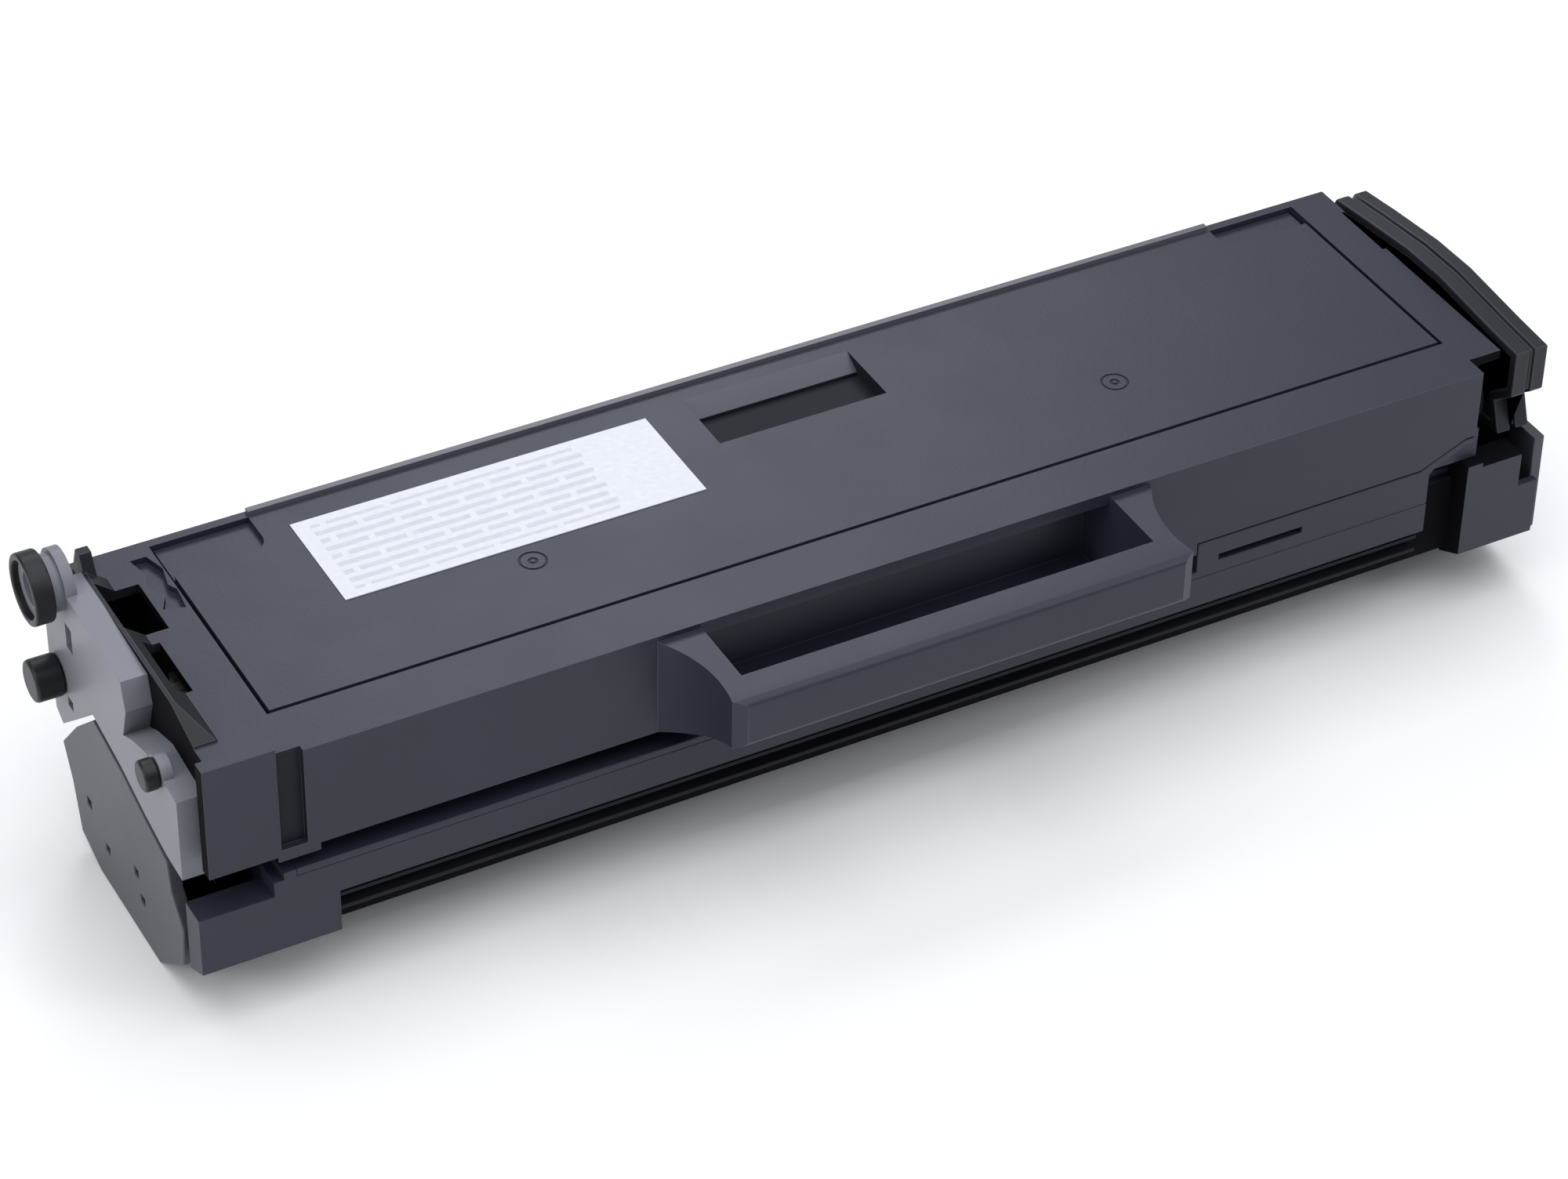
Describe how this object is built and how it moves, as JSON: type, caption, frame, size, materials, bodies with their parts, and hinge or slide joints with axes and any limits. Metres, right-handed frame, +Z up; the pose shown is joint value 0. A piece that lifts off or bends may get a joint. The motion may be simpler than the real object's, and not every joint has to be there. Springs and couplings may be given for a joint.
{
  "type": "toner cartridge",
  "caption": "Long dark all-in-one toner cartridge with a flat label deck, a front finger handle, end plates with guide pins, and a drum with gear-driven rollers inside.",
  "frame": {"origin": "centre of the underside, on the surface the cartridge stands on", "axes": "+X along the cartridge from the gear end to the contact end, +Y from the handle to the drum side at the back, +Z up"},
  "size_m": [0.2972, 0.092, 0.0678],
  "materials": {
    "black_pin": "glossy",
    "black_shell": "satin",
    "blade_rubber": "smooth",
    "cap_plastic": "satin",
    "circuit_board": "board",
    "clear_film": "film",
    "dark_plate": "satin",
    "drum_coating": "glossy coating",
    "felt": "felt",
    "foam": "open cell",
    "grey_plate": "satin",
    "label_paper": "matt",
    "natural_bush": "moulded",
    "shaft_steel": "ground",
    "sheet_steel": "brushed",
    "sleeve_rubber": "satin",
    "white_gear": "moulded"
  },
  "bodies": {
    "housing": {"charge_bearing_left": "natural_bush", "charge_bearing_right": "natural_bush", "charge_contact": "sheet_steel", "charge_spring_left": "sheet_steel", "charge_spring_right": "sheet_steel", "chip_board": "circuit_board", "cleaning_blade": "blade_rubber", "cleaning_blade_holder": "sheet_steel", "developer_bushing_left": "natural_bush", "developer_bushing_right": "natural_bush", "developer_seal_left": "felt", "developer_seal_right": "felt", "doctor_blade": "sheet_steel", "doctor_blade_holder": "sheet_steel", "doctor_blade_screws": "sheet_steel", "drum_axle": "shaft_steel", "drum_frame": "black_shell", "fill_plug": "cap_plastic", "gear_side_plate": "grey_plate", "guide_boss": "black_pin", "guide_pin": "black_pin", "hopper_body": "black_shell", "hopper_lid": "black_shell", "label": "label_paper", "left_side_plate": "dark_plate", "locating_pin": "black_pin", "recovery_film": "clear_film", "right_end_plate": "dark_plate", "right_side_plate": "dark_plate", "supply_bushing_left": "natural_bush", "supply_bushing_right": "natural_bush", "waste_cover": "black_shell"},
    "drum": {"drum_tube": "drum_coating", "drum_gear_flange": "white_gear", "drum_plain_flange": "white_gear"},
    "developer_roller": {"developer_shaft": "shaft_steel", "developer_sleeve": "sleeve_rubber", "developer_gear": "white_gear"},
    "supply_roller": {"supply_shaft": "shaft_steel", "supply_foam": "foam", "supply_gear": "white_gear"},
    "agitator": {"agitator_shaft": "white_gear", "agitator_film": "clear_film", "agitator_gear": "white_gear"},
    "idler": {"idler_gear": "white_gear"},
    "charge_roller": {"charge_shaft": "shaft_steel", "charge_rubber": "sleeve_rubber"}
  },
  "joints": [
    {"name": "drum_spin", "type": "hinge", "parent": "housing", "child": "drum", "pos_m": [0, 0.0228, 0.0165], "axis": [1, 0, 0], "continuous": true},
    {"name": "developer_spin", "type": "hinge", "parent": "housing", "child": "developer_roller", "pos_m": [0, 0.03381, 0.03223], "axis": [1, 0, 0], "continuous": true},
    {"name": "supply_spin", "type": "hinge", "parent": "housing", "child": "supply_roller", "pos_m": [0, 0.0225, 0.03903], "axis": [1, 0, 0], "continuous": true},
    {"name": "idler_spin", "type": "hinge", "parent": "housing", "child": "idler", "pos_m": [0, 0.01198, 0.03414], "axis": [1, 0, 0], "continuous": true},
    {"name": "agitator_spin", "type": "hinge", "parent": "housing", "child": "agitator", "pos_m": [0, 0.00382, 0.046], "axis": [1, 0, 0], "continuous": true},
    {"name": "charge_roller_spin", "type": "hinge", "parent": "housing", "child": "charge_roller", "pos_m": [0, 0.00725, 0.02216], "axis": [1, 0, 0], "continuous": true}
  ],
  "couplings": [
    {"joint": "developer_spin", "follows": "drum_spin", "ratio": -1.6667},
    {"joint": "supply_spin", "follows": "drum_spin", "ratio": 2},
    {"joint": "idler_spin", "follows": "drum_spin", "ratio": -2.1429},
    {"joint": "agitator_spin", "follows": "drum_spin", "ratio": 1.3636},
    {"joint": "charge_roller_spin", "follows": "drum_spin", "ratio": -2.8235}
  ]
}
